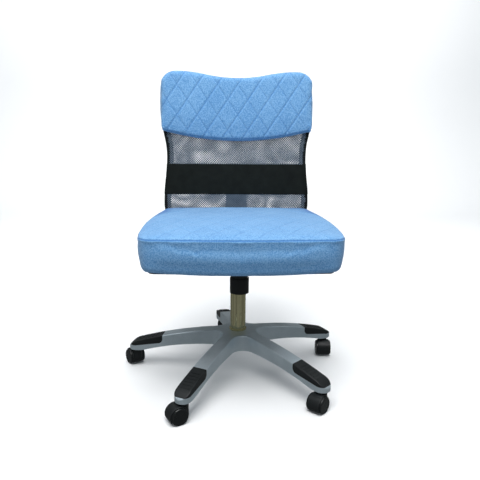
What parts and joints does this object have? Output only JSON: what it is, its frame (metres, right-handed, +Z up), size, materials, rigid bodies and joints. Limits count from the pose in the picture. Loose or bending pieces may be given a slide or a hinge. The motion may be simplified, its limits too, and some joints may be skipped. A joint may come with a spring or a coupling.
{
  "type": "swivel office chair",
  "caption": "Armless swivel task chair with padded seat, mesh back with a padded hood, gas column and a star base on hooded twin-wheel casters.",
  "frame": {"origin": "on the floor, under the axis of the column", "axes": "+Z up along the column, the sitter faces -Y, +X is the sitter's left"},
  "size_m": [0.6204, 0.6349, 0.8486],
  "materials": {
    "silver_paint": "satin silver paint",
    "chrome": "polished",
    "steel": "bright turned",
    "black_steel": "satin black powder coat",
    "black_plastic": "fine spark texture",
    "gloss_black": "glossy",
    "white_plastic": "natural acetal",
    "rubber": "matt",
    "plywood": "raw birch plywood",
    "blue_fabric": "heathered flat weave",
    "black_mesh": "open knitted mesh",
    "black_ribbed": "fine ribbed elastic band",
    "black_lining": "non-woven lining"
  },
  "bodies": {
    "base": {"star_base": "silver_paint", "tread_cap_1": "black_plastic", "tread_cap_2": "black_plastic", "tread_cap_3": "black_plastic", "tread_cap_4": "black_plastic", "tread_cap_5": "black_plastic", "hub_ring": "chrome", "stand_tube": "chrome", "guide_bush": "white_plastic", "thrust_race_lower": "steel", "caster_stems": "steel", "stem_grip_rings": "steel"},
    "rod": {"piston_rod": "steel", "piston": "steel", "thrust_ball_cage": "steel", "thrust_race_upper": "steel", "rubber_bumper": "rubber", "rod_clip": "steel"},
    "seat": {"gas_cylinder": "black_steel", "cone_socket": "black_steel", "column_sleeve": "black_plastic", "mechanism_housing": "black_steel", "lever_pivot_pin": "steel", "seat_bolts": "steel", "seat_tee_nuts": "steel", "seat_board": "plywood", "seat_dust_cover": "black_lining", "seat_cushion": "blue_fabric", "back_bar": "black_steel", "back_bar_bolts": "steel", "back_bar_nuts": "steel", "back_bar_cover": "black_plastic", "back_frame": "black_steel", "back_frame_bolts": "steel", "mesh_sleeve": "black_mesh", "lumbar_band": "black_ribbed", "back_pad": "blue_fabric"},
    "lever": {"lever_rod": "black_steel", "lever_handle": "black_plastic"},
    "valve": {"valve_pin": "steel"},
    "caster_1": {"caster_body_1": "black_plastic", "caster_axle_1": "steel"},
    "wheel_a_1": {"caster_wheel_a_1": "gloss_black"},
    "wheel_b_1": {"caster_wheel_b_1": "gloss_black"},
    "caster_2": {"caster_body_2": "black_plastic", "caster_axle_2": "steel"},
    "wheel_a_2": {"caster_wheel_a_2": "gloss_black"},
    "wheel_b_2": {"caster_wheel_b_2": "gloss_black"},
    "caster_3": {"caster_body_3": "black_plastic", "caster_axle_3": "steel"},
    "wheel_a_3": {"caster_wheel_a_3": "gloss_black"},
    "wheel_b_3": {"caster_wheel_b_3": "gloss_black"},
    "caster_4": {"caster_body_4": "black_plastic", "caster_axle_4": "steel"},
    "wheel_a_4": {"caster_wheel_a_4": "gloss_black"},
    "wheel_b_4": {"caster_wheel_b_4": "gloss_black"},
    "caster_5": {"caster_body_5": "black_plastic", "caster_axle_5": "steel"},
    "wheel_a_5": {"caster_wheel_a_5": "gloss_black"},
    "wheel_b_5": {"caster_wheel_b_5": "gloss_black"}
  },
  "joints": [
    {"name": "seat_swivel", "type": "hinge", "parent": "base", "child": "rod", "pos_m": [0, 0, 0.1], "axis": [0, 0, 1], "continuous": true},
    {"name": "seat_height", "type": "slide", "parent": "rod", "child": "seat", "axis": [0, 0, 1], "range_m": [0, 0.1]},
    {"name": "height_lever", "type": "hinge", "parent": "seat", "child": "lever", "pos_m": [-0.03, 0, 0.3443], "axis": [0, 1, 0], "range_deg": [0, 6], "stiffness_Nm_per_rad": 1},
    {"name": "valve_press", "type": "slide", "parent": "seat", "child": "valve", "axis": [0, 0, 1], "range_m": [-0.0037, 0]},
    {"name": "caster_swivel_1", "type": "hinge", "parent": "base", "child": "caster_1", "pos_m": [0.26739, 0.12926, 0.05], "axis": [0, 0, 1], "continuous": true},
    {"name": "wheel_spin_a_1", "type": "hinge", "parent": "caster_1", "child": "wheel_a_1", "pos_m": [0.26669, 0.11178, 0.022], "axis": [0.9992, -0.0401, 0], "continuous": true},
    {"name": "wheel_spin_b_1", "type": "hinge", "parent": "caster_1", "child": "wheel_b_1", "pos_m": [0.26669, 0.11178, 0.022], "axis": [0.9992, -0.0401, 0], "continuous": true},
    {"name": "caster_swivel_2", "type": "hinge", "parent": "base", "child": "caster_2", "pos_m": [-0.04031, 0.29425, 0.05], "axis": [0, 0, 1], "continuous": true},
    {"name": "wheel_spin_a_2", "type": "hinge", "parent": "caster_2", "child": "wheel_a_2", "pos_m": [-0.02745, 0.30612, 0.022], "axis": [-0.6782, 0.7349, 0], "continuous": true},
    {"name": "wheel_spin_b_2", "type": "hinge", "parent": "caster_2", "child": "wheel_b_2", "pos_m": [-0.02745, 0.30612, 0.022], "axis": [-0.6782, 0.7349, 0], "continuous": true},
    {"name": "caster_swivel_3", "type": "hinge", "parent": "base", "child": "caster_3", "pos_m": [-0.2923, 0.05259, 0.05], "axis": [0, 0, 1], "continuous": true},
    {"name": "wheel_spin_a_3", "type": "hinge", "parent": "caster_3", "child": "wheel_a_3", "pos_m": [-0.30176, 0.06732, 0.022], "axis": [-0.8415, -0.5402, 0], "continuous": true},
    {"name": "wheel_spin_b_3", "type": "hinge", "parent": "caster_3", "child": "wheel_b_3", "pos_m": [-0.30176, 0.06732, 0.022], "axis": [-0.8415, -0.5402, 0], "continuous": true},
    {"name": "caster_swivel_4", "type": "hinge", "parent": "base", "child": "caster_4", "pos_m": [-0.14035, -0.26174, 0.05], "axis": [0, 0, 1], "continuous": true},
    {"name": "wheel_spin_a_4", "type": "hinge", "parent": "caster_4", "child": "wheel_a_4", "pos_m": [-0.1557, -0.27015, 0.022], "axis": [0.4802, -0.8771, 0], "continuous": true},
    {"name": "wheel_spin_b_4", "type": "hinge", "parent": "caster_4", "child": "wheel_b_4", "pos_m": [-0.1557, -0.27015, 0.022], "axis": [0.4802, -0.8771, 0], "continuous": true},
    {"name": "caster_swivel_5", "type": "hinge", "parent": "base", "child": "caster_5", "pos_m": [0.20556, -0.21436, 0.05], "axis": [0, 0, 1], "continuous": true},
    {"name": "wheel_spin_a_5", "type": "hinge", "parent": "caster_5", "child": "wheel_a_5", "pos_m": [0.19379, -0.2273, 0.022], "axis": [0.7396, -0.673, 0], "continuous": true},
    {"name": "wheel_spin_b_5", "type": "hinge", "parent": "caster_5", "child": "wheel_b_5", "pos_m": [0.19379, -0.2273, 0.022], "axis": [0.7396, -0.673, 0], "continuous": true}
  ],
  "couplings": [
    {"joint": "valve_press", "follows": "height_lever", "m_per_rad": -0.0335}
  ]
}
